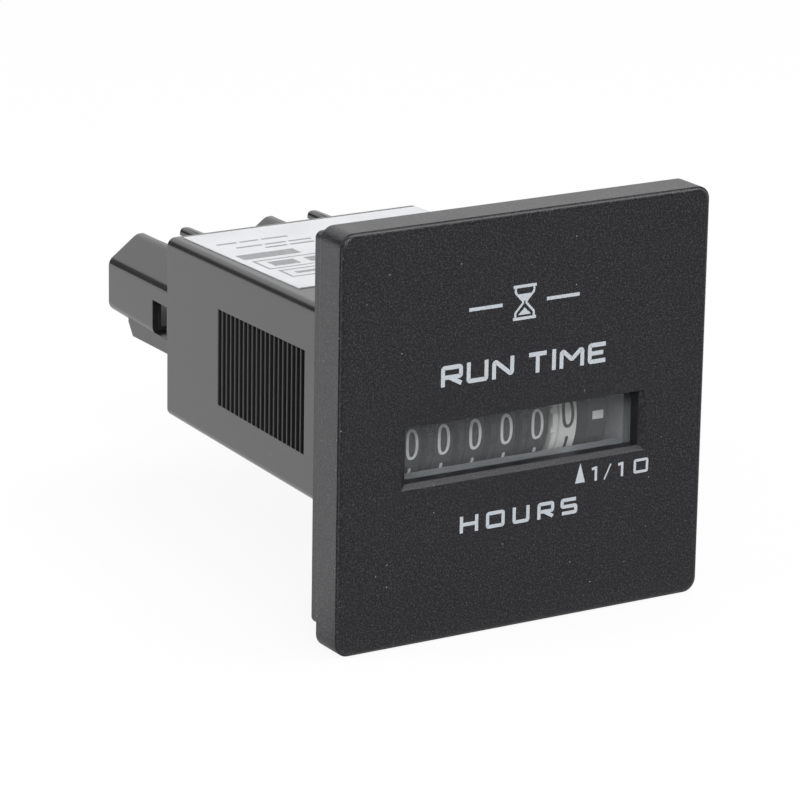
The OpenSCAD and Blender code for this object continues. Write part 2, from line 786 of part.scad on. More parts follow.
// Ring of claw poles, the first one turned to phase
module claw_ring(x0, x1, phase) {
    across(x0, x1) intersection() {
        difference() {
            circle(claw_r + claw_t);
            circle(claw_r);
        }
        for (i = [0:claws - 1]) rotate(phase + i * 360 / claws) polygon([
            [0, 0], [2 * claw_r, -claw_r / 2], [2 * claw_r, claw_r / 2]
        ]);
    }
}

module motor_can() color("#9aa0a6") on_axis(rotor_axis) {
    difference() {
        bar_x(can_x, can_end_x - can_t, can_d);
        bar_x(can_x + can_t, can_end_x, can_d - 2 * can_t);
        bar_x(can_x - cut, can_end_x, arbor_d + 2 * bore_gap);
    }
    claw_ring(can_x + can_t - layer, can_end_x - 2 * can_t, 0);
}

module motor_cover() color("#9aa0a6") on_axis(rotor_axis) {
    difference() {
        bar_x(can_end_x - can_t, can_end_x, can_d);
        bar_x(can_x, can_end_x + cut, arbor_d + 2 * bore_gap);
    }
    claw_ring(can_x + 2 * can_t, can_end_x - can_t + layer, 180 / claws);
}

bobbin_t = 0.3;
bobbin_x = can_x + can_t + fit_gap / 2;
bobbin_end_x = can_end_x - can_t - fit_gap / 2;
bobbin_r = can_d / 2 - can_t - fit_gap;

module coil_bobbin() color("#e3dfd2") on_axis(rotor_axis) turned() {
    step(coil_r, coil_r + bobbin_t, bobbin_x, bobbin_end_x);
    step(coil_r, bobbin_r, bobbin_x, bobbin_x + bobbin_t);
    step(coil_r, bobbin_r, bobbin_end_x - bobbin_t, bobbin_end_x);
}

module coil_winding() color("#a8552c") on_axis(rotor_axis) turned()
    step(coil_r + bobbin_t, bobbin_r - fit_gap, bobbin_x + bobbin_t, bobbin_end_x - bobbin_t);

// Electronics

module circuit_board() color("#2f6b45") {
    difference() {
        translate([-board_w / 2, board_y, board_z - board_t]) cube([board_w, board_l, board_t]);
        for (x = [-shroud_x, shroud_x])
            translate([x - leg_w / 2 - fit_gap, leg_y - fit_gap, board_z - board_t - cut])
                cube([leg_w + 2 * fit_gap, blade_t + 2 * fit_gap, board_t + 2 * cut]);
    }
}

chip_l = 8.7;
chip_w = 3.9;
chip_h = 1.4;
chip_pins = 7;
chip_pitch = 1.27;
chip_pin_w = 0.4;
chip_pin_reach = 1;
chip_stand = 0.15;

// Places on the board as shares of its width from the middle and of its length from the front edge
chip_place = [-0.03, 0.32];
crystal_place = [-0.355, 0.32];
capacitor_place = [0.34, 0.32];
resistor_place = [0, 0.71];

module on_board(place) {
    translate([place.x * board_w, board_y + place.y * board_l, board_z]) children();
}

module timer_chip() color("#2a2a2c") on_board(chip_place) {
    translate([-chip_l / 2, -chip_w / 2, chip_stand]) cube([chip_l, chip_w, chip_h]);
    for (i = [0:chip_pins - 1], side = [0, 1]) mirror([0, side, 0])
        translate([(i - (chip_pins - 1) / 2) * chip_pitch - chip_pin_w / 2, 0, 0]) {
            translate([0, chip_w / 2 - layer, 0]) cube([chip_pin_w, chip_pin_reach, chip_stand + layer]);
            translate([0, chip_w / 2 - layer, 0]) cube([chip_pin_w, chip_stand, chip_h / 2]);
        }
}

crystal_d = 2;
crystal_l = 6;
lead_d = 0.4;
lead_l = 1.2;

// A can that lies on the board with two leads at its end
module quartz_crystal() color("#c4c7ca") on_board(crystal_place) translate([0, 0, crystal_d / 2]) {
    bar_x(-crystal_l / 2, crystal_l / 2, crystal_d);
    for (y = [-1, 1]) translate([0, y * crystal_d / 4, 0])
        bar_x(crystal_l / 2 - layer, crystal_l / 2 + lead_l, lead_d);
}

capacitor_d = 5;
capacitor_h = 6;
capacitor_neck = 0.25;

module capacitor() color("#39465e") on_board(capacitor_place) rotate_extrude() {
    step(0, capacitor_d / 2, 0, capacitor_h / 8);
    step(0, capacitor_d / 2 - capacitor_neck, 0, capacitor_h);
    step(0, capacitor_d / 2, capacitor_h / 4, capacitor_h);
}

resistor_d = 1.8;
resistor_l = 4.6;
resistor_lead_reach = 2;

// A body that lies on the board, with leads that turn down to it
module resistor() color("#c9b48c") on_board(resistor_place) translate([0, 0, resistor_d / 2]) {
    reach = resistor_l / 2 + resistor_lead_reach;
    bar_x(-resistor_l / 2, resistor_l / 2, resistor_d);
    bar_x(-reach, reach, lead_d);
    for (x = [-reach, reach]) translate([x, 0, -resistor_d / 2]) cylinder(d = lead_d, h = resistor_d / 2);
}

bezel();
case();
window_lens();
top_label();
terminal_block();
left_terminal();
right_terminal();
counter_frame();
wheel_shaft();
pinion_shaft();
ten_thousands_wheel();
thousands_wheel();
hundreds_wheel();
tens_wheel();
units_wheel();
tenths_wheel();
carry_pinion_1();
carry_pinion_2();
carry_pinion_3();
carry_pinion_4();
carry_pinion_5();
run_indicator();
drive_gear();
idler_gear();
rotor();
rotor_magnet();
motor_can();
motor_cover();
coil_bobbin();
coil_winding();
circuit_board();
timer_chip();
quartz_crystal();
capacitor();
resistor();
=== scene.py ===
import json
import math

import bmesh
import bpy
from mathutils import Matrix, Vector


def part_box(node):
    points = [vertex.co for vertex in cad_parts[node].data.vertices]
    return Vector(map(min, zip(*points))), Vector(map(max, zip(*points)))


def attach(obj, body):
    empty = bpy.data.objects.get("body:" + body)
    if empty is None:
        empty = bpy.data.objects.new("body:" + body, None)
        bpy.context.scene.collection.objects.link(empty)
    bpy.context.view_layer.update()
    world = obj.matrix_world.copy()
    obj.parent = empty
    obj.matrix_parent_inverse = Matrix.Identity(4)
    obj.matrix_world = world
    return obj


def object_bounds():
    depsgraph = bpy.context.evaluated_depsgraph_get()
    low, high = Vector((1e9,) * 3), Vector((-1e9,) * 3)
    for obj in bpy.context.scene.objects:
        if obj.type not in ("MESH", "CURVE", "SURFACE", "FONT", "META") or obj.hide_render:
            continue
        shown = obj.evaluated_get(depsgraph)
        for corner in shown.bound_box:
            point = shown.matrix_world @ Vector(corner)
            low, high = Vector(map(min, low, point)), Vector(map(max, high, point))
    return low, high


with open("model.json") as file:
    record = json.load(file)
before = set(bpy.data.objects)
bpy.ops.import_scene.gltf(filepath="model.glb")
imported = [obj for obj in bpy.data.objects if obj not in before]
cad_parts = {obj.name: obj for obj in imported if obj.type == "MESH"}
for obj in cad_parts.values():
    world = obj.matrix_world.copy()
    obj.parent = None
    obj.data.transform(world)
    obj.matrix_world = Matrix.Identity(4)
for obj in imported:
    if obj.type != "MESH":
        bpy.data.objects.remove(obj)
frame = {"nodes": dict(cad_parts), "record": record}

CAD_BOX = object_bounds()
MM = 0.001
NODES = frame["nodes"]
SCENE = bpy.context.scene

# Print: its thickness, how far it stands proud and the lifts that keep strokes apart, then the length of
# a step round a drum and the points of a rounded corner
INK_T = 0.03 * MM
INK_PROUD = 0.015 * MM
INK_PASSES = 5
INK_LIFT = 0.001 * MM
INK_STEP = 0.09 * MM
CORNER_POINTS = 5
FRONT_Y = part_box("bezel")[0].y
# Register: where the middle of a drum lies from the left end of its wheel, and the widths of the indicator
# and its gear
HOUR_WHEELS = ["ten_thousands", "thousands", "hundreds", "tens", "units"]
DIGITS = 10
DRUM_FROM_LEFT = 1.962 * MM
INDICATOR_W = 2.5 * MM
INDICATOR_GEAR_W = 0.6 * MM
# The numbers of the tenths wheel are turned a little ahead
TENTHS_LEAD = math.radians(6.2)
# Half width of the case where its draft starts, behind the panel, and the draft over its length
CASE_HALF_W = 18.0 * MM
CASE_DRAFT_START = 3.6 * MM
CASE_DRAFT = 0.7 / 43.5
CASE_END = 47.2 * MM
# The rack: its ends, its reach in from the side, its middle and its half height, which tapers to the rear
RACK_START, RACK_END = 13.7 * MM, 34.4 * MM
RACK_REACH = 1.4 * MM
RACK_Z = -0.3 * MM
RACK_HALF_H = 6.1 * MM
RACK_TAPER = 0.35 / 20.8
# Depths at which the shade in a groove of the rack starts and is full
GROOVE_SHADE = 0.04 * MM, 0.3 * MM
# Witness lines of the mould on the sides in front of the rack
WITNESS_FROM_X = 16.5 * MM
WITNESS_Z = 5.8 * MM, -6.4 * MM
WITNESS_HALF_W = 0.05 * MM
# The room in the shrouds, up to the middle of its walls: its middle, half width, floor and top
SHROUD_X = 9.0 * MM
SHROUD_HALF_W = 7.05 * MM
SHROUD_LOW, SHROUD_HIGH = -1.75 * MM, 4.2 * MM
# Resistor: half width of a colour band, and where the leads start from its middle
BAND_HALF_W = 0.2 * MM
LEAD_FROM = 2.31 * MM


class Socket:
    """A socket of a node tree that takes part in arithmetic. Socket(tree) alone starts a tree."""

    def __init__(self, tree, socket=None):
        self.tree = tree
        self.socket = socket

    def node(self, kind, settings=None, inputs=None, output=0):
        """Adds a node: its settings first, then the values or links of its sockets."""
        made = self.tree.nodes.new(kind)
        for name, value in (settings or {}).items():
            setattr(made, name, value)
        for key, value in (inputs or {}).items():
            if isinstance(value, Socket):
                self.tree.links.new(value.socket, made.inputs[key])
            else:
                made.inputs[key].default_value = value
        return Socket(self.tree, made.outputs[output]) if made.outputs else None

    def _math(self, operation, *values):
        return self.node("ShaderNodeMath", {"operation": operation}, dict(enumerate(values)))

    def __add__(self, other):
        return self._math("ADD", self, other)

    def __sub__(self, other):
        return self._math("SUBTRACT", self, other)

    def __rsub__(self, other):
        return self._math("SUBTRACT", other, self)

    def __mul__(self, other):
        return self._math("MULTIPLY", self, other)

    def __truediv__(self, other):
        return self._math("DIVIDE", self, other)

    def __rtruediv__(self, other):
        return self._math("DIVIDE", other, self)

    def __gt__(self, other):
        return self._math("GREATER_THAN", self, other)

    def __lt__(self, other):
        return self._math("LESS_THAN", self, other)

    def __abs__(self):
        return self._math("ABSOLUTE", self)

    __radd__ = __add__
    __rmul__ = __mul__


# Patterns that the finishes share


def object_place(start):
    return start.node("ShaderNodeTexCoord", output="Object")


def stretched(start, scale):
    """Object coordinates with a separate scale along each direction."""
    return start.node("ShaderNodeMapping", inputs={"Vector": object_place(start), "Scale": scale})


def grain(start, size_mm, detail=3.0, roughness=0.55, vector=None):
    """Noise whose lumps are about size_mm across."""
    place = vector or object_place(start)
    inputs = {"Vector": place, "Scale": 1.0 / (size_mm * MM), "Detail": detail, "Roughness": roughness}
    return start.node("ShaderNodeTexNoise", inputs=inputs)


def between(start, value, low, high):
    """The value mapped from low..high to 0..1, and held there."""
    inputs = {"Value": value, "From Min": low, "From Max": high, "To Min": 0.0, "To Max": 1.0}
    return start.node("ShaderNodeMapRange", {"clamp": True}, inputs)


def tinted(start, amount, colour, other):
    """A colour that goes to another one by an amount."""
    settings = {"data_type": "RGBA", "blend_type": "MIX"}
    inputs = {0: amount}
    for key, value in ((6, colour), (7, other)):
        inputs[key] = value if isinstance(value, Socket) else (*value, 1.0)
    return start.node("ShaderNodeMix", settings, inputs, output=2)


def axis_of(start, letter):
    """One of the object coordinates."""
    return start.node("ShaderNodeSeparateXYZ", inputs={"Vector": object_place(start)}, output=letter)


def bump(start, height, depth_mm, strength=1.0, normal=None):
    """A normal for a relief that is depth_mm deep, on top of another normal where one is given."""
    inputs = {"Strength": strength, "Distance": depth_mm * MM, "Height": height}
    if normal is not None:
        inputs["Normal"] = normal
    return start.node("ShaderNodeBump", inputs=inputs)


def soft_edges(start, radius_mm):
    """A normal that rounds the edges."""
    return start.node("ShaderNodeBevel", {"samples": 6}, {"Radius": radius_mm * MM})


def specks(start, cell_mm, size, share):
    """Dust: a dot of a size, in cells, in a share of the cells of a pattern."""
    settings = {"feature": "F1", "distance": "EUCLIDEAN"}
    inputs = {"Vector": object_place(start), "Scale": 1.0 / (cell_mm * MM), "Randomness": 1.0}
    near = start.node("ShaderNodeTexVoronoi", settings, inputs, output="Distance")
    pick = start.node("ShaderNodeTexVoronoi", settings, inputs, output="Color")
    chance = start.node("ShaderNodeSeparateColor", inputs={"Color": pick}, output="Red")
    return (near < size) * (chance < share)


def finish(name, build):
    """A material whose shader comes from build(start)."""
    material = bpy.data.materials.new(name)
    material.use_nodes = True
    tree = material.node_tree
    tree.nodes.clear()
    start = Socket(tree)
    shader = build(start)
    start.node("ShaderNodeOutputMaterial", inputs={"Surface": shader})
    return material


def principled(start, **inputs):
    """The main shader, with its inputs by name and an underscore for each space."""
    named = {key.replace("_", " "): value for key, value in inputs.items()}
    return start.node("ShaderNodeBsdfPrincipled", inputs=named)


# Finishes of the housing


def textured_plastic(start):
    """Spark-eroded black moulding with a trace of dust."""
    pits = grain(start, 0.21, 2.0, 0.6)
    fine = grain(start, 0.12, 2.0, 0.6)
    cloud = grain(start, 9.0, 4.0)
    dust = specks(start, 1.5, 0.045, 0.22)
    patches = between(start, cloud, 0.3, 0.7)
    tone = tinted(start, patches, (0.0083, 0.0081, 0.0107), (0.0106, 0.0104, 0.0134))
    tone = tinted(start, between(start, pits, 0.46, 0.74), tone, (0.06, 0.059, 0.068))
    tone = tinted(start, between(start, fine, 0.55, 0.35) * 0.85, tone, (0.004, 0.004, 0.005))
    tone = tinted(start, dust * 0.7, tone, (0.4, 0.4, 0.42))
    relief = bump(start, pits * 0.7 + fine * 0.3, 0.08, 0.6, soft_edges(start, 0.16))
    rough = between(start, cloud, 0.2, 0.8) * 0.06 + 0.33
    return principled(start, Base_Color=tone, Roughness=rough, Normal=relief, Specular_IOR_Level=0.6)


def on_rack(x, y, z):
    """1 on the racks, ribs and grooves alike."""
    half = RACK_HALF_H - (y - RACK_START) * RACK_TAPER
    at_side = abs(x) > CASE_HALF_W - RACK_REACH
    return at_side * (y > RACK_START) * (y < RACK_END) * (abs(z - RACK_Z) < half)


def painted_groove_shade(start, x, y):
    """1 at the bottom of the rack's grooves, where the painted shade is full, and 0 at the side of the case.
    """
    side = CASE_HALF_W - (y - CASE_DRAFT_START) * CASE_DRAFT
    return between(start, side - abs(x), *GROOVE_SHADE)


def witness_lines(x, y, z):
    """1 on the two fine lines that the mould leaves on each side in front of the rack."""
    lines = [abs(z - level) < WITNESS_HALF_W for level in WITNESS_Z]
    return (lines[0] + lines[1]) * ((abs(x) > WITNESS_FROM_X) * (y < RACK_START))


def shroud_inside(x, y, z):
    """1 on the walls inside the shrouds, which are dull and carry painted shade, and 0 outside of them."""
    across = abs(abs(x) - SHROUD_X) < SHROUD_HALF_W
    return across * (y > CASE_END) * (z > SHROUD_LOW) * (z < SHROUD_HIGH)


def satin_plastic(start):
    """Smooth black moulding with faint flow marks and witness lines; dull, with painted shade, on the racks
    and in the shrouds.
    """
    skin = grain(start, 0.3, 2.0)
    flow = grain(start, 5.0, 3.0, 0.5, stretched(start, (1.0, 0.25, 1.6)))
    dust = specks(start, 2.6, 0.03, 0.2)
    x, y, z = (axis_of(start, letter) for letter in "XYZ")
    witness = witness_lines(x, y, z)
    rack = on_rack(x, y, z)
    groove = rack * painted_groove_shade(start, x, y)
    inside = shroud_inside(x, y, z)
    tone = tinted(start, between(start, flow, 0.3, 0.7), (0.015, 0.015, 0.0155), (0.02, 0.02, 0.0205))
    tone = tinted(start, witness * 0.3, tone, (0.006, 0.006, 0.006))
    # Painted shade: the racks are darkened, and the bottoms of their grooves more so
    tone = tinted(start, rack * 0.6 + groove * 0.4, tone, (0.002, 0.002, 0.002))
    tone = tinted(start, dust * 0.3, tone, (0.3, 0.3, 0.3))
    # Painted shade: the walls inside the shrouds are darkened
    tone = tinted(start, inside * 0.7, tone, (0.004, 0.004, 0.004))
    height = flow * 0.8 + skin * 0.08 - witness * 0.6
    relief = bump(start, height, 0.06, 0.35, soft_edges(start, 0.14))
    rough = between(start, flow, 0.2, 0.8) * 0.06 + 0.21 + rack * 0.34 + inside * 0.5
    return principled(start, Base_Color=tone, Roughness=rough, Normal=relief, Specular_IOR_Level=1.0)


def clear_lens(start):
    """Clear moulding with a slight haze; light passes it on its way to the wheels."""
    cloud = grain(start, 3.0, 3.0)
    rough = between(start, cloud, 0.3, 0.8) * 0.05 + 0.02
    tint = (0.96, 0.97, 0.97, 1.0)
    clear = principled(start, Base_Color=tint, Roughness=rough, Transmission_Weight=1.0, IOR=1.49)
    veil = start.node("ShaderNodeBsdfDiffuse", inputs={"Color": (0.82, 0.86, 0.88, 1.0)})
    hazy = start.node("ShaderNodeMixShader", inputs={0: cloud * 0.016 + 0.023, 1: clear, 2: veil})
    open_way = start.node("ShaderNodeBsdfTransparent", inputs={"Color": (0.93, 0.94, 0.94, 1.0)})
    shadow = start.node("ShaderNodeLightPath", output="Is Shadow Ray")
    return start.node("ShaderNodeMixShader", inputs={0: shadow, 1: hazy, 2: open_way})


def coated_paper(start):
    """White paper with fine fibres under a thin coat."""
    fibres = grain(start, 0.12, 3.0, 0.6, stretched(start, (1.0, 0.35, 1.0)))
    cloud = grain(start, 6.0, 3.0)
    tone = tinted(start, between(start, cloud, 0.3, 0.7), (0.66, 0.67, 0.69), (0.6, 0.61, 0.63))
    tone = tinted(start, between(start, fibres, 0.6, 0.85) * 0.25, tone, (0.6, 0.6, 0.6))
    relief = bump(start, fibres, 0.01, 0.3)
    return principled(start, Base_Color=tone, Roughness=0.42 + cloud * 0.1, Normal=relief, Coat_Weight=0.15)


def front_ink(start):
    """Pale screen print, a little thin over the texture below it."""
    pits = grain(start, 0.17, 2.0, 0.6)
    tone = tinted(start, between(start, pits, 0.5, 0.75) * 0.5, (0.47, 0.505, 0.54), (0.32, 0.34, 0.365))
    relief = bump(start, pits, 0.03, 0.4)
    return principled(start, Base_Color=tone, Roughness=0.5 + pits * 0.1, Normal=relief)


def label_ink(start):
    """Grey print, a little worn."""
    wear = grain(start, 0.5, 3.0)
    tone = tinted(start, between(start, wear, 0.45, 0.7), (0.25, 0.255, 0.26), (0.34, 0.345, 0.35))
    return principled(start, Base_Color=tone, Roughness=0.45 + wear * 0.1)


# Finishes of the register and the parts inside


def moulded(dark, light, rough, sheen=0.5):
    """Plain moulding with rings left by the tool and a soft gloss."""

    def build(start):
        rings = grain(start, 0.5, 3.0, 0.5, stretched(start, (6.0, 0.5, 0.5)))
        cloud = grain(start, 2.5, 3.0)
        tone = tinted(start, between(start, rings * 0.6 + cloud * 0.4, 0.35, 0.68), dark, light)
        relief = bump(start, rings, 0.02, 0.4, soft_edges(start, 0.06))
        uneven = between(start, cloud, 0.2, 0.8) * 0.08 + rough
        return principled(start, Base_Color=tone, Roughness=uneven, Normal=relief, Specular_IOR_Level=sheen)

    return build


def sheet_metal(dark, light, rough, along=(8.0, 0.6, 8.0)):
    """Metal with fine drawn lines, stretched along a direction, and a few dull patches."""

    def build(start):
        lines = grain(start, 0.4, 4.0, 0.6, stretched(start, along))
        dull = grain(start, 2.0, 3.0)
        tone = tinted(start, between(start, lines * 0.5 + dull * 0.5, 0.35, 0.65), dark, light)
        relief = bump(start, lines, 0.01, 0.35, soft_edges(start, 0.05))
        uneven = between(start, dull, 0.25, 0.75) * 0.15 + rough
        return principled(start, Base_Color=tone, Roughness=uneven, Metallic=1.0, Normal=relief)

    return build


def wound_wire(start):
    """Enamelled wire laid turn by turn."""
    settings = {"wave_type": "BANDS", "bands_direction": "X", "wave_profile": "SIN"}
    inputs = {"Vector": object_place(start), "Scale": 3200.0, "Distortion": 0.6, "Detail": 1.0}
    turns = start.node("ShaderNodeTexWave", settings, inputs, output="Fac")
    tone = tinted(start, turns, (0.17, 0.05, 0.018), (0.55, 0.2, 0.08))
    relief = bump(start, turns, 0.04, 0.8)
    return principled(start, Base_Color=tone, Roughness=0.28 + turns * 0.06, Metallic=0.85, Normal=relief)


def green_laminate(start):
    """Coated board with traces under the coating."""
    settings = {"offset": 0.5, "squash": 1.0}
    inputs = {"Vector": object_place(start), "Scale": 260.0, "Mortar Size": 0.05, "Brick Width": 0.9}
    trace = start.node("ShaderNodeTexBrick", settings, inputs, output="Fac")
    weave = grain(start, 0.25, 2.0)
    tone = tinted(start, trace, (0.02, 0.11, 0.045), (0.05, 0.2, 0.085))
    tone = tinted(start, between(start, weave, 0.5, 0.8) * 0.2, tone, (0.1, 0.28, 0.14))
    relief = bump(start, trace, 0.03, 0.5)
    return principled(start, Base_Color=tone, Roughness=0.3 + weave * 0.1, Normal=relief, Coat_Weight=0.3)


def banded_lacquer(start):
    """Resistor body with colour bands and bare leads."""
    centre = (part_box("resistor")[0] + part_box("resistor")[1]) / 2
    x = axis_of(start, "X") - centre.x
    tone = (0.55, 0.42, 0.24)
    bands = {
        -1.4: (0.3, 0.12, 0.03),
        -0.6: (0.02, 0.02, 0.02),
        0.2: (0.5, 0.05, 0.02),
        1.5: (0.5, 0.34, 0.08),
    }
    for place_mm, colour in bands.items():
        tone = tinted(start, abs(x - place_mm * MM) < BAND_HALF_W, tone, colour)
    lead = abs(x) > LEAD_FROM
    tone = tinted(start, lead, tone, (0.62, 0.62, 0.6))
    skin = grain(start, 0.3, 2.0)
    relief = bump(start, skin, 0.02, 0.3)
    return principled(start, Base_Color=tone, Metallic=lead, Roughness=0.32 + skin * 0.1, Normal=relief)


SLOT_LOOKS = {
    "textured_black_plastic": textured_plastic,
    "satin_black_plastic": satin_plastic,
    "clear_lens": clear_lens,
    "white_label": coated_paper,
    "tinned_brass": sheet_metal((0.5, 0.43, 0.27), (0.74, 0.7, 0.58), 0.24),
    "grey_plastic": moulded((0.24, 0.25, 0.26), (0.31, 0.32, 0.33), 0.42),
    "shaft_steel": sheet_metal((0.48, 0.49, 0.51), (0.68, 0.69, 0.7), 0.18),
    "white_wheel": moulded((0.84, 0.835, 0.82), (0.9, 0.895, 0.88), 0.36),
    "black_wheel": moulded((0.024, 0.025, 0.028), (0.04, 0.041, 0.045), 0.36),
    "natural_gear": moulded((0.62, 0.59, 0.5), (0.72, 0.69, 0.6), 0.4),
    "magnet": sheet_metal((0.07, 0.07, 0.075), (0.14, 0.14, 0.15), 0.45),
    "motor_steel": sheet_metal((0.4, 0.42, 0.44), (0.6, 0.61, 0.63), 0.26),
    "copper_wire": wound_wire,
    "green_board": green_laminate,
    "chip_black": moulded((0.018, 0.018, 0.02), (0.03, 0.03, 0.032), 0.5),
    "capacitor_sleeve": moulded((0.03, 0.05, 0.11), (0.05, 0.08, 0.16), 0.28),
    "resistor_body": banded_lacquer,
}
FINISHES = {name: finish(name, build) for name, build in SLOT_LOOKS.items()}
FRONT_INK = finish("front_ink", front_ink)
LABEL_INK = finish("label_ink", label_ink)
WHITE_INK = finish("wheel_white_ink", moulded((0.84, 0.85, 0.86), (0.9, 0.91, 0.92), 0.5))
BLACK_INK = finish("wheel_black_ink", moulded((0.02, 0.02, 0.021), (0.035, 0.035, 0.036), 0.45))

for subpart in frame["record"]["subparts"]:
    node = NODES[subpart["node"]]
    node.data.materials.clear()
    node.data.materials.append(FINISHES[subpart["material_slot"]])


# Stroke paths of the printed figures, in the plane of the print


def arc(cx, cy, rx, ry, start, end, steps=14):
    """Points on an ellipse between two angles in degrees."""
    angles = [math.radians(start + (end - start) * i / steps) for i in range(steps + 1)]
    return [(cx + rx * math.cos(a), cy + ry * math.sin(a)) for a in angles]


def oval(rx, ry, power=2.5, steps=40):
    """A closed oval that is fuller than an ellipse."""

    def fuller(share):
        return math.copysign(abs(share) ** (2 / power), share)

    angles = [2 * math.pi * i / steps for i in range(steps + 1)]
    return [(fuller(math.cos(a)) * rx, fuller(math.sin(a)) * ry) for a in angles]


# Numbers of the wheels in millimetres about their middle, with half their width and height
W, H = 0.64, 1.65
NUMBERS = {
    0: [oval(0.62, 1.62)],
    1: [[(-0.06, 1.54), (0.08, 1.68), (0.08, -H)]],
    2: [arc(0, 0.97, W, W, 165, -20) + [(-W, -H), (W, -H)]],
    3: [arc(0, 0.87, W, 0.78, 150, -75) + arc(0, -0.83, W, 0.82, 78, -155)],
    4: [[(0.3, -H), (0.3, H), (-W, -0.62), (0.78, -0.62)]],
    5: [[(0.6, H), (-0.52, H), (-0.6, 0.1)] + arc(0, -0.7, W, 0.95, 128, -150)],
    6: [[(0.42, H), (-0.2, 0.75)] + arc(0, -0.75, W, 0.9, 158, -202, 22)],
    7: [[(-W, H), (W, H), (-0.16, -H)]],
    8: [arc(0, 0.87, 0.6, 0.78, -90, 270, 22), arc(0, -0.78, W, 0.87, 90, 450, 22)],
    9: [[(-0.42, -H), (0.2, -0.75)] + arc(0, 0.75, W, 0.9, -22, 338, 22)],
}

# Letters and figures of the front, on a field 1 wide and 1 high from the lower left corner. Free ends of
# stems reach past the field by half a stroke, so that they are as high as the closed letters.
LOW, HIGH = -0.13, 1.13
LETTERS = {
    "H": [[(0, LOW), (0, HIGH)], [(1, LOW), (1, HIGH)], [(0, 0.5), (1, 0.5)]],
    "O": [[(0.5, 0), (1, 0), (1, 1), (0, 1), (0, 0), (0.5, 0)]],
    "U": [[(0, HIGH), (0, 0), (1, 0), (1, HIGH)]],
    "R": [[(0, LOW), (0, 1), (1, 1), (1, 0.42), (0.11, 0.42)], [(0.36, 0.42), (1.04, -0.02)]],
    "S": [[(1, 1), (0, 1), (0, 0.5), (1, 0.5), (1, 0), (0, 0)]],
    "N": [[(0, LOW), (0, 1), (1, 0), (1, HIGH)]],
    "T": [[(0, 1), (1, 1)], [(0.5, 1), (0.5, LOW)]],
    "I": [[(0, LOW), (0, HIGH)]],
    "M": [[(0, LOW), (0, 1), (0.5, 0.35), (1, 1), (1, LOW)]],
    "E": [[(1, 1), (0, 1), (0, 0), (1, 0)], [(0, 0.5), (0.85, 0.5)]],
    "1": [[(1, 1.08), (1, LOW)], [(0.08, 0.91), (1, 0.99)]],
    "0": [[(0.5, 0), (1, 0), (1, 1), (0, 1), (0, 0), (0.5, 0)]],
    "/": [[(0, -0.05), (1, 1.05)]],
}


def lettering(row, z, height):
    """Stroke paths of a row of (sign, left end, width) on a line at height z, all given in millimetres."""
    return [
        [((x + u * width) * MM, (z + v * height) * MM) for u, v in path]
        for sign, x, width in row
        for path in LETTERS[sign]
    ]


def stroke_mesh(name, paths):
    """Edges along the paths in X and Y, each a hair over the one before, so that no faces coincide."""
    points, edges = [], []
    for number, path in enumerate(paths):
        first = len(points)
        lift = (number % INK_PASSES) * INK_LIFT
        points += [(u, v, lift) for u, v in path]
        edges += [(i, i + 1) for i in range(first, len(points) - 1)]
    mesh = bpy.data.meshes.new(name)
    mesh.from_pydata(points, edges, [])
    return mesh


# Geometry Nodes


def new_tree(name, sizes):
    """A tree with a geometry, the named sizes and a material as inputs; returns it and its inputs by name."""
    tree = bpy.data.node_groups.new(name, "GeometryNodeTree")
    tree.is_modifier = True
    tree.interface.new_socket("Geometry", in_out="INPUT", socket_type="NodeSocketGeometry")
    for size in sizes:
        tree.interface.new_socket(size, in_out="INPUT", socket_type="NodeSocketFloat")
    tree.interface.new_socket("Material", in_out="INPUT", socket_type="NodeSocketMaterial")
    tree.interface.new_socket("Geometry", in_out="OUTPUT", socket_type="NodeSocketGeometry")
    given = tree.nodes.new("NodeGroupInput")
    inputs = {socket.name: Socket(tree, socket) for socket in given.outputs if socket.name}
    return tree, inputs


def end_tree(geometry, material):
    """Ends a tree with the geometry in its material."""
    plain = geometry.node("GeometryNodeRealizeInstances", inputs={"Geometry": geometry})
    painted = geometry.node("GeometryNodeSetMaterial", inputs={"Geometry": plain, "Material": material})
    geometry.tree.links.new(painted.socket, geometry.tree.nodes.new("NodeGroupOutput").inputs[0])


def swept_stroke(path, width, thickness):
    """A flat band along a path that lies in X and Y."""
    upright = path.node("GeometryNodeSetCurveNormal", {"mode": "Z_UP"}, {"Curve": path})
    kind = "GeometryNodeCurvePrimitiveQuadrilateral"
    profile = path.node(kind, {"mode": "RECTANGLE"}, {0: width, 1: thickness})
    inputs = {"Curve": upright, "Profile Curve": profile, "Fill Caps": True}
    return path.node("GeometryNodeCurveToMesh", inputs=inputs)


def front_print_tree():
    """Rounds the corners of flat strokes, sweeps them and stands them up on the front."""
    tree, given = new_tree("front_print", ["Stroke", "Thickness", "Corner", "Front", "Proud"])
    path = given["Geometry"].node("GeometryNodeMeshToCurve", inputs={"Mesh": given["Geometry"]})
    inputs = {"Curve": path, "Count": CORNER_POINTS, "Radius": given["Corner"], "Limit Radius": True}
    rounded = path.node("GeometryNodeFilletCurve", {"mode": "POLY"}, inputs)
    band = swept_stroke(rounded, given["Stroke"], given["Thickness"])
    depth = given["Front"] - given["Proud"] + given["Thickness"] / 2
    place = path.node("ShaderNodeCombineXYZ", inputs={"Y": depth})
    inputs = {"Geometry": band, "Translation": place, "Rotation": (math.pi / 2, 0.0, 0.0)}
    end_tree(path.node("GeometryNodeTransform", inputs=inputs), given["Material"])
    return tree


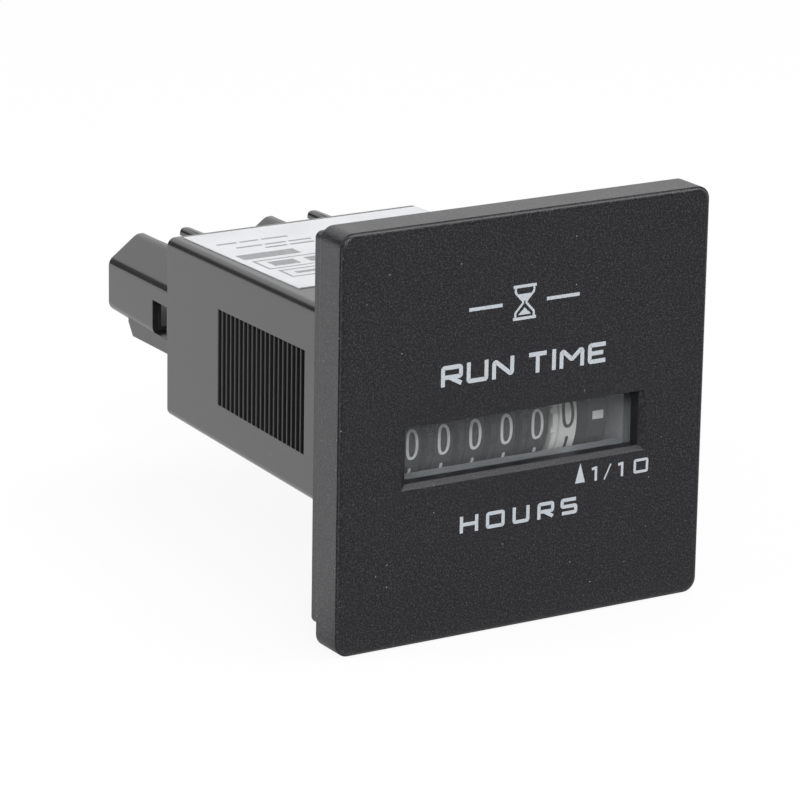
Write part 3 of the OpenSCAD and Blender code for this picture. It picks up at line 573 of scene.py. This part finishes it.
def wheel_print_tree():
    """Sweeps flat strokes and wraps them round a drum that turns about X."""
    sizes = ["Stroke", "Thickness", "Step", "Radius", "Across", "Axis Y", "Axis Z", "Turn"]
    tree, given = new_tree("wheel_print", sizes)
    path = given["Geometry"].node("GeometryNodeMeshToCurve", inputs={"Mesh": given["Geometry"]})
    inputs = {"Curve": path, "Length": given["Step"]}
    fine = path.node("GeometryNodeResampleCurve", {"mode": "LENGTH"}, inputs)
    band = swept_stroke(fine, given["Stroke"], given["Thickness"])
    place = {"Vector": path.node("GeometryNodeInputPosition")}
    u, v, t = (path.node("ShaderNodeSeparateXYZ", inputs=place, output=letter) for letter in "XYZ")
    angle = v / given["Radius"] + given["Turn"]
    cosine = path.node("ShaderNodeMath", {"operation": "COSINE"}, {0: angle})
    sine = path.node("ShaderNodeMath", {"operation": "SINE"}, {0: angle})
    reach = given["Radius"] + t
    inputs = {
        "X": given["Across"] + u,
        "Y": given["Axis Y"] - reach * cosine,
        "Z": given["Axis Z"] + reach * sine,
    }
    wrapped = path.node("ShaderNodeCombineXYZ", inputs=inputs)
    bent = path.node("GeometryNodeSetPosition", inputs={"Geometry": band, "Position": wrapped})
    end_tree(bent, given["Material"])
    return tree


def grown(name, mesh, tree, sizes):
    """The plain mesh object that a tree makes of a mesh."""
    made = bpy.data.objects.new(name, mesh)
    SCENE.collection.objects.link(made)
    modifier = made.modifiers.new("grow", "NODES")
    modifier.node_group = tree
    for item in tree.interface.items_tree:
        if item.in_out == "INPUT" and item.name in sizes:
            modifier[item.identifier] = sizes[item.name]
    bpy.context.view_layer.update()
    evaluated = made.evaluated_get(bpy.context.evaluated_depsgraph_get())
    plain = bpy.data.meshes.new_from_object(evaluated)
    made.modifiers.remove(modifier)
    plain.shade_flat()
    made.data = plain
    plain.name = name
    return made


def place_on(piece, body):
    """Lets a piece ride a body."""
    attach(piece, body)


def thin_print(name, outlines, across, ink):
    """Prints on the housing: outlines of points, made as thick as the vector across."""
    work = bmesh.new()
    for outline in outlines:
        base = work.faces.new([work.verts.new(point) for point in outline])
        other = bmesh.ops.extrude_face_region(work, geom=[base])["geom"]
        moved = [v for v in other if isinstance(v, bmesh.types.BMVert)]
        bmesh.ops.translate(work, verts=moved, vec=across)
    bmesh.ops.recalc_face_normals(work, faces=work.faces)
    mesh = bpy.data.meshes.new(name)
    work.to_mesh(mesh)
    work.free()
    mesh.materials.append(ink)
    piece = bpy.data.objects.new(name, mesh)
    SCENE.collection.objects.link(piece)
    place_on(piece, "housing")


# Print on the front

FRONT_PRINT = front_print_tree()


def print_on_front(name, paths, stroke_mm, corner_mm):
    """Strokes on the front, with their width and the radius of their corners."""
    sizes = {
        "Stroke": stroke_mm * MM,
        "Thickness": INK_T,
        "Corner": corner_mm * MM,
        "Front": FRONT_Y,
        "Proud": INK_PROUD,
        "Material": FRONT_INK,
    }
    place_on(grown(name, stroke_mesh(name, paths), FRONT_PRINT, sizes), "housing")


def shapes_on_front(name, shapes):
    """Filled shapes on the front, in millimetres of X and Z."""
    base_y = FRONT_Y + INK_T - INK_PROUD
    outlines = [[(x * MM, base_y, z * MM) for x, z in shape] for shape in shapes]
    thin_print(name, outlines, (0.0, -INK_T, 0.0), FRONT_INK)


RUN_TIME = [
    ("R", -11.0, 2.3), ("U", -7.7, 2.3), ("N", -4.4, 2.35),
    ("T", 0.15, 2.3), ("I", 3.45, 0.0), ("M", 4.45, 2.75), ("E", 8.2, 2.1),
]
print_on_front("upper_legend", lettering(RUN_TIME, 5.6, 1.9), 0.5, 0.2)
HOURS = [("H", -8.22, 1.98), ("O", -4.8, 2.04), ("U", -1.3, 1.81), ("R", 1.99, 1.8), ("S", 5.07, 1.84)]
print_on_front("lower_legend", lettering(HOURS, -11.69, 1.54), 0.42, 0.18)
TENTHS = [("1", 8.9, 0.6), ("1", 12.45, 0.6), ("0", 14.77, 1.67)]
print_on_front("tenths_legend", lettering(TENTHS, -8.28, 1.38), 0.32, 0.12)
print_on_front("tenths_slash", lettering([("/", 10.64, 0.86)], -8.42, 1.6), 0.18, 0.0)
POINTER = [(6.72, -8.4), (8.04, -8.4), (7.38, -6.08)]
shapes_on_front("tenths_pointer", [POINTER])

# A plain sand glass between two rules stands for time run
GLASS_X, GLASS_Z = -0.6, 13.7
SAND_GLASS = [
    [(-1.5, 1.66), (1.5, 1.66), (1.5, 2.0), (-1.5, 2.0)],
    [(-1.5, -2.0), (1.5, -2.0), (1.5, -1.66), (-1.5, -1.66)],
    [(-0.85, 0.95), (0.85, 0.95), (0.0, 0.08)],
    [(-0.85, -1.42), (0.85, -1.42), (0.0, -0.62)],
    [(-7.2, -0.2), (-2.9, -0.2), (-2.9, 0.2), (-7.2, 0.2)],
    [(2.9, -0.2), (7.2, -0.2), (7.2, 0.2), (2.9, 0.2)],
]
shapes_on_front("sand_glass_solid", [[(GLASS_X + x, GLASS_Z + z) for x, z in shape] for shape in SAND_GLASS])
GLASS_SIDE = [(1.2, 1.7), (1.2, 1.15), (0.12, 0.0), (1.2, -1.15), (1.2, -1.7)]
GLASS_LINES = [
    [((GLASS_X + side * x) * MM, (GLASS_Z + z) * MM) for x, z in GLASS_SIDE] for side in (-1, 1)
]
print_on_front("sand_glass_line", GLASS_LINES, 0.26, 0.25)


# Numbers on the wheels and marks on the run indicator

WHEEL_PRINT = wheel_print_tree()


def wheel_paths(radius):
    """The ten numbers on a strip that goes once round a drum. A higher number comes from below."""
    step = 2 * math.pi * radius / DIGITS
    return [
        [(u * MM, v * MM - number * step) for u, v in path]
        for number, paths in NUMBERS.items()
        for path in paths
    ]


def print_on_wheel(name, node, body, paths, across, ink, stroke_mm, turn=0.0):
    """Strokes round the drum of a wheel, about a line across its axis, turned ahead by an angle."""
    low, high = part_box(node)
    sizes = {
        "Stroke": stroke_mm * MM,
        "Thickness": INK_T,
        "Step": INK_STEP,
        "Radius": (high.y - low.y) / 2,
        "Across": across,
        "Axis Y": (low.y + high.y) / 2,
        "Axis Z": (low.z + high.z) / 2,
        "Turn": turn,
        "Material": ink,
    }
    place_on(grown(name, stroke_mesh(name, paths), WHEEL_PRINT, sizes), body)


def print_numbers(wheel, ink, stroke_mm, turn=0.0):
    """The ten numbers of a wheel."""
    low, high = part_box(wheel + "_wheel")
    paths = wheel_paths((high.y - low.y) / 2)
    across = low.x + DRUM_FROM_LEFT
    print_on_wheel(wheel + "_numbers", wheel + "_wheel", wheel, paths, across, ink, stroke_mm, turn)


HOUR_STROKE_MM, TENTHS_STROKE_MM = 0.36, 0.4
for hour_wheel in HOUR_WHEELS:
    print_numbers(hour_wheel, WHITE_INK, HOUR_STROKE_MM)
print_numbers("tenths", BLACK_INK, TENTHS_STROKE_MM, TENTHS_LEAD)

MARKS = 6
MARK_W_MM, MARK_H_MM = 1.46, 1.0


def print_run_marks():
    """Marks round the run indicator, each a short stroke as wide as the mark."""
    low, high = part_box("run_indicator")
    spacing = math.pi * (high.y - low.y) / MARKS
    half = MARK_H_MM * MM / 2
    paths = [[(0.0, -half - i * spacing), (0.0, half - i * spacing)] for i in range(MARKS)]
    across = high.x - INDICATOR_GEAR_W - INDICATOR_W / 2
    node, body, slot = "run_indicator", "indicator", "white_wheel"
    print_on_wheel("run_marks", node, body, paths, across, WHITE_INK, MARK_W_MM)


print_run_marks()


# Bars of print on the label, which slopes with the top of the case

LABEL_LOW, LABEL_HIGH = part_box("top_label")
LABEL_T = 0.1 * MM
LABEL_FALL = (LABEL_HIGH.z - LABEL_LOW.z - LABEL_T) / (LABEL_HIGH.y - LABEL_LOW.y)
# Ends of each bar in X and in Y, in millimetres
BARS = [
    (-14.2, -11.5, 40.5, 41.0), (-11.1, -8.6, 40.5, 41.0), (-8.2, -4.7, 40.5, 41.0),
    (-12.8, -9.4, 38.2, 38.7), (-9.0, -6.2, 38.2, 38.7), (-5.8, -2.8, 38.2, 38.7),
    (-9.7, -6.8, 36.8, 37.3), (-6.4, -3.2, 36.8, 37.3), (-14.8, -7.2, 33.0, 35.2),
    (-14.4, -3.0, 31.7, 32.0), (-14.4, -3.0, 27.8, 28.1),
    (-14.4, -14.1, 28.1, 31.7), (-3.3, -3.0, 28.1, 31.7),
    (-13.0, -9.6, 28.9, 30.9), (-8.2, -4.8, 28.9, 30.9),
    (-13.8, -7.0, 26.6, 26.9), (-13.8, -7.0, 23.5, 23.8),
    (-13.8, -13.5, 23.8, 26.6), (-7.3, -7.0, 23.8, 26.6),
    (-12.4, -8.4, 24.8, 25.6),
    (2.0, 14.6, 40.1, 40.9), (2.0, 10.0, 37.9, 38.7),
    (4.0, 12.6, 31.1, 32.1), (4.0, 12.6, 28.3, 29.3),
    (2.0, 14.6, 34.9, 35.2), (2.0, 14.6, 25.5, 25.8),
    (2.0, 2.3, 25.8, 34.9), (14.3, 14.6, 25.8, 34.9),
]


def on_label(x_mm, y_mm):
    """A point just over the label."""
    y = y_mm * MM
    return x_mm * MM, y, LABEL_HIGH.z - (y - LABEL_LOW.y) * LABEL_FALL + INK_PROUD


bar_outlines = [
    [on_label(*corner) for corner in ((x0, y0), (x1, y0), (x1, y1), (x0, y1))] for x0, x1, y0, y1 in BARS
]
thin_print("label_print", bar_outlines, (0.0, 0.0, -INK_T), LABEL_INK)


# Camera, floor and light

# Fitted to the photo: the place of the camera, its directions and its focal length on a 36 mm sensor
EYE = Vector((-0.25422, -0.39358, 0.14233))
RIGHT = Vector((0.85563, -0.51734, 0.01609))
UP = Vector((0.13637, 0.25531, 0.95719))
BACK = Vector((-0.4993, -0.81681, 0.289))
FOCAL_MM, SENSOR_MM = 197.36, 36.0
CLIP_NEAR, CLIP_FAR = 0.01, 20.0

optics = bpy.data.cameras.new("camera")
optics.lens = FOCAL_MM
optics.sensor_width = SENSOR_MM
optics.clip_start = CLIP_NEAR
optics.clip_end = CLIP_FAR
camera = bpy.data.objects.new("camera", optics)
SCENE.collection.objects.link(camera)
turned = Matrix((RIGHT, UP, BACK)).transposed().to_4x4()
camera.matrix_world = Matrix.Translation(EYE) @ turned
SCENE.camera = camera

# What a gloss sees of the floor: its level in front at the left, in front at the right and behind, and where
# these meet
FLOOR_FRONT, FLOOR_RIGHT, FLOOR_BACK = 0.06, 0.3, 1.0
FLOOR_BACK_Y = -0.01, 0.014
FLOOR_RIGHT_X = -0.06, -0.02
FLOOR_TONE = 0.86
FLOOR_HALF = 4.0
# Share of the plain white in what shows of the floor; the rest takes the shadow
FLOOR_WHITE = 0.9
# A hair below the object, so that no two faces coincide
FLOOR_Z = CAD_BOX[0].z - 0.02 * MM
# Light of the world, and what a gloss sees of it: dim in front of the object, bright behind it, and dark low
# on the left
SKY_LEVEL = 0.45
SKY_FRONT = 0.08
SKY_BACK_Y = -0.6, 0.3
DARK_X = -0.12, -0.2
DARK_Z = 0.5, 0.4
DARK_SHARE = 0.97


def ray(start, kind):
    """1 for rays of a kind."""
    return start.node("ShaderNodeLightPath", output=f"Is {kind} Ray")


def backdrop_seen(start):
    """1 for rays that show the background: from the camera, off a gloss or through clear plastic."""
    either = ray(start, "Camera") + ray(start, "Glossy")
    settings = {"operation": "ADD", "use_clamp": True}
    return start.node("ShaderNodeMath", settings, {0: either, 1: ray(start, "Transmission")})


def white_to_camera(start, level):
    """A level that is 1 for the camera."""
    return start.node("ShaderNodeMath", {"operation": "MAXIMUM"}, {0: ray(start, "Camera"), 1: level})


def pale_floor(start):
    """White to the camera, with a trace of the shadow; darker in front of the object for a gloss."""
    back = between(start, axis_of(start, "Y"), *FLOOR_BACK_Y)
    right = between(start, axis_of(start, "X"), *FLOOR_RIGHT_X)
    front = right * (FLOOR_RIGHT - FLOOR_FRONT) * (1.0 - back)
    mirrored = back * (FLOOR_BACK - FLOOR_FRONT) + front + FLOOR_FRONT
    glow = white_to_camera(start, mirrored)
    shine = start.node("ShaderNodeEmission", inputs={"Color": glow, "Strength": 1.0})
    matt = start.node("ShaderNodeBsdfDiffuse", inputs={"Color": (FLOOR_TONE, FLOOR_TONE, FLOOR_TONE, 1.0)})
    share = backdrop_seen(start) * FLOOR_WHITE
    return start.node("ShaderNodeMixShader", inputs={0: share, 1: matt, 2: shine})


FLOOR_CORNERS = ((-1, -1), (1, -1), (1, 1), (-1, 1))
floor_mesh = bpy.data.meshes.new("floor")
floor_points = [(x * FLOOR_HALF, y * FLOOR_HALF, FLOOR_Z) for x, y in FLOOR_CORNERS]
floor_mesh.from_pydata(floor_points, [], [(0, 1, 2, 3)])
floor_mesh.materials.append(finish("pale_floor", pale_floor))
floor = bpy.data.objects.new("floor", floor_mesh)
SCENE.collection.objects.link(floor)


def studio_sky(start):
    """An even light that is white to the camera, with bright and dark zones for a gloss."""
    direction = {"Vector": start.node("ShaderNodeTexCoord", output="Generated")}
    x, y, z = (start.node("ShaderNodeSeparateXYZ", inputs=direction, output=letter) for letter in "XYZ")
    dark = between(start, x, *DARK_X) * between(start, z, *DARK_Z)
    mirrored = between(start, y, *SKY_BACK_Y) * (1.0 - SKY_FRONT) + SKY_FRONT
    seen = white_to_camera(start, mirrored * (1.0 - dark * DARK_SHARE))
    level = backdrop_seen(start) * (seen - SKY_LEVEL) + SKY_LEVEL
    return start.node("ShaderNodeBackground", inputs={"Color": level, "Strength": 1.0})


world = bpy.data.worlds.new("studio")
world.use_nodes = True
world.node_tree.nodes.clear()
world_start = Socket(world.node_tree)
world_start.node("ShaderNodeOutputWorld", inputs={"Surface": studio_sky(world_start)})
SCENE.world = world


def soft_box(name, place, aim, size, watts):
    """A rectangular lamp at a place, turned to a point."""
    lamp = bpy.data.lights.new(name, "AREA")
    lamp.shape = "RECTANGLE"
    lamp.size, lamp.size_y = size
    lamp.energy = watts
    holder = bpy.data.objects.new(name, lamp)
    SCENE.collection.objects.link(holder)
    holder.location = place
    holder.rotation_mode = "QUATERNION"
    holder.rotation_quaternion = (Vector(aim) - Vector(place)).to_track_quat("-Z", "Y")
    return holder


soft_box("front_box", (-0.35, -0.75, 0.55), (0.0, 0.0, 0.0), (0.6, 0.5), 5.0)
left_box = soft_box("left_box", (-0.9, 0.25, 0.25), (0.0, 0.02, 0.0), (0.6, 0.5), 5.0)
soft_box("top_box", (0.31, -0.11, 0.93), (0.0, 0.02, 0.0), (0.7, 0.7), 5.2)

# The left box stands low, so level faces would mirror it as a blot
left_box.visible_glossy = False

SCENE.view_settings.view_transform = "Standard"
